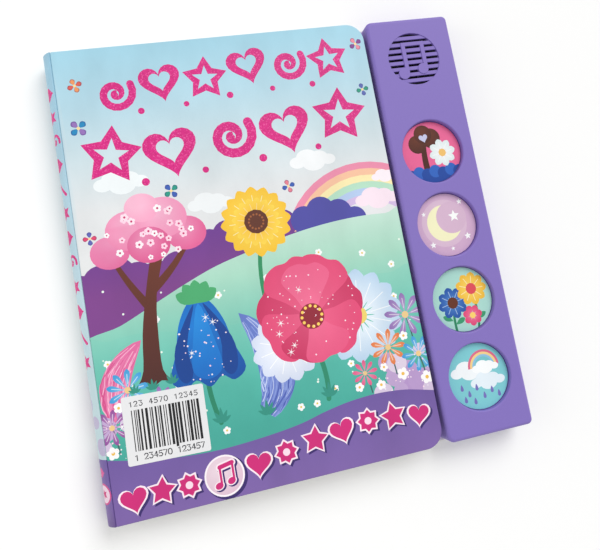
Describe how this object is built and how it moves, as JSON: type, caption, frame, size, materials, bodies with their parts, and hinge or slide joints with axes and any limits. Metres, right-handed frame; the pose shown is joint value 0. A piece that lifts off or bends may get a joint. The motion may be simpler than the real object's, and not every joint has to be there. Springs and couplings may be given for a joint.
{
  "type": "sound board book",
  "caption": "Board book with a hinged front cover, a glued block of thick leaves and a side sound module with round picture buttons and a speaker grille.",
  "frame": {"origin": "middle of the footprint, on the surface that the closed book lies on", "axes": "+Z out of the front cover, +Y to the head of the book, +X from the spine to the sound module"},
  "size_m": [0.2116, 0.2218, 0.0153],
  "materials": {
    "front_board": "printed and gloss laminated",
    "spine_board": "printed and gloss laminated",
    "back_board": "printed and gloss laminated",
    "leaves": "printed faces, cut white board edges",
    "label": "satin sticker",
    "module_plastic": "fine satin moulding",
    "button_plastic": "satin",
    "picture_1": "printed film",
    "picture_2": "printed film",
    "picture_3": "printed film",
    "picture_4": "printed film",
    "dome_rubber": "matte",
    "circuit": "solder mask",
    "epoxy": "glossy blob",
    "steel": "bright",
    "magnet": "zinc plated",
    "speaker_paper": "matte cone",
    "wire_red": "insulation",
    "wire_black": "insulation"
  },
  "bodies": {
    "book_base": {"back_cover": "back_board", "spine": "spine_board", "page_block": "leaves", "module_housing": "module_plastic", "module_base": "module_plastic", "circuit_board": "circuit", "sound_chip": "epoxy", "rubber_dome_1": "dome_rubber", "rubber_dome_2": "dome_rubber", "rubber_dome_3": "dome_rubber", "rubber_dome_4": "dome_rubber", "speaker_frame": "steel", "speaker_cone": "speaker_paper", "speaker_magnet": "magnet", "speaker_wire_red": "wire_red", "speaker_wire_black": "wire_black", "button_cell_1": "steel", "button_cell_2": "steel", "button_cell_3": "steel", "battery_contact_plus": "steel", "battery_contact_minus": "steel", "battery_bridge_inner": "steel", "battery_bridge_door": "steel", "battery_wire_red": "wire_red", "battery_wire_black": "wire_black", "battery_door": "module_plastic", "door_screw": "steel", "housing_screw_1": "steel", "housing_screw_2": "steel", "housing_screw_3": "steel", "housing_screw_4": "steel", "housing_screw_5": "steel", "housing_screw_6": "steel", "circuit_screw_1": "steel", "circuit_screw_2": "steel", "circuit_screw_3": "steel"},
    "front_cover": {"front_cover": "front_board", "price_label": "label"},
    "button_1": {"button_cap_1": "button_plastic", "button_picture_1": "picture_1"},
    "button_2": {"button_cap_2": "button_plastic", "button_picture_2": "picture_2"},
    "button_3": {"button_cap_3": "button_plastic", "button_picture_3": "picture_3"},
    "button_4": {"button_cap_4": "button_plastic", "button_picture_4": "picture_4"}
  },
  "joints": [
    {"name": "front_cover_hinge", "type": "hinge", "parent": "book_base", "child": "front_cover", "pos_m": [-0.10145, 0, 0.015], "axis": [0, -1, 0], "range_deg": [0, 180]},
    {"name": "button_1_press", "type": "slide", "parent": "book_base", "child": "button_1", "axis": [0, 0, -1], "range_m": [0, 0.0009], "stiffness_N_per_m": 900, "springref_m": -0.0004, "deforming": ["rubber_dome_1"]},
    {"name": "button_2_press", "type": "slide", "parent": "book_base", "child": "button_2", "axis": [0, 0, -1], "range_m": [0, 0.0009], "stiffness_N_per_m": 900, "springref_m": -0.0004, "deforming": ["rubber_dome_2"]},
    {"name": "button_3_press", "type": "slide", "parent": "book_base", "child": "button_3", "axis": [0, 0, -1], "range_m": [0, 0.0009], "stiffness_N_per_m": 900, "springref_m": -0.0004, "deforming": ["rubber_dome_3"]},
    {"name": "button_4_press", "type": "slide", "parent": "book_base", "child": "button_4", "axis": [0, 0, -1], "range_m": [0, 0.0009], "stiffness_N_per_m": 900, "springref_m": -0.0004, "deforming": ["rubber_dome_4"]}
  ]
}
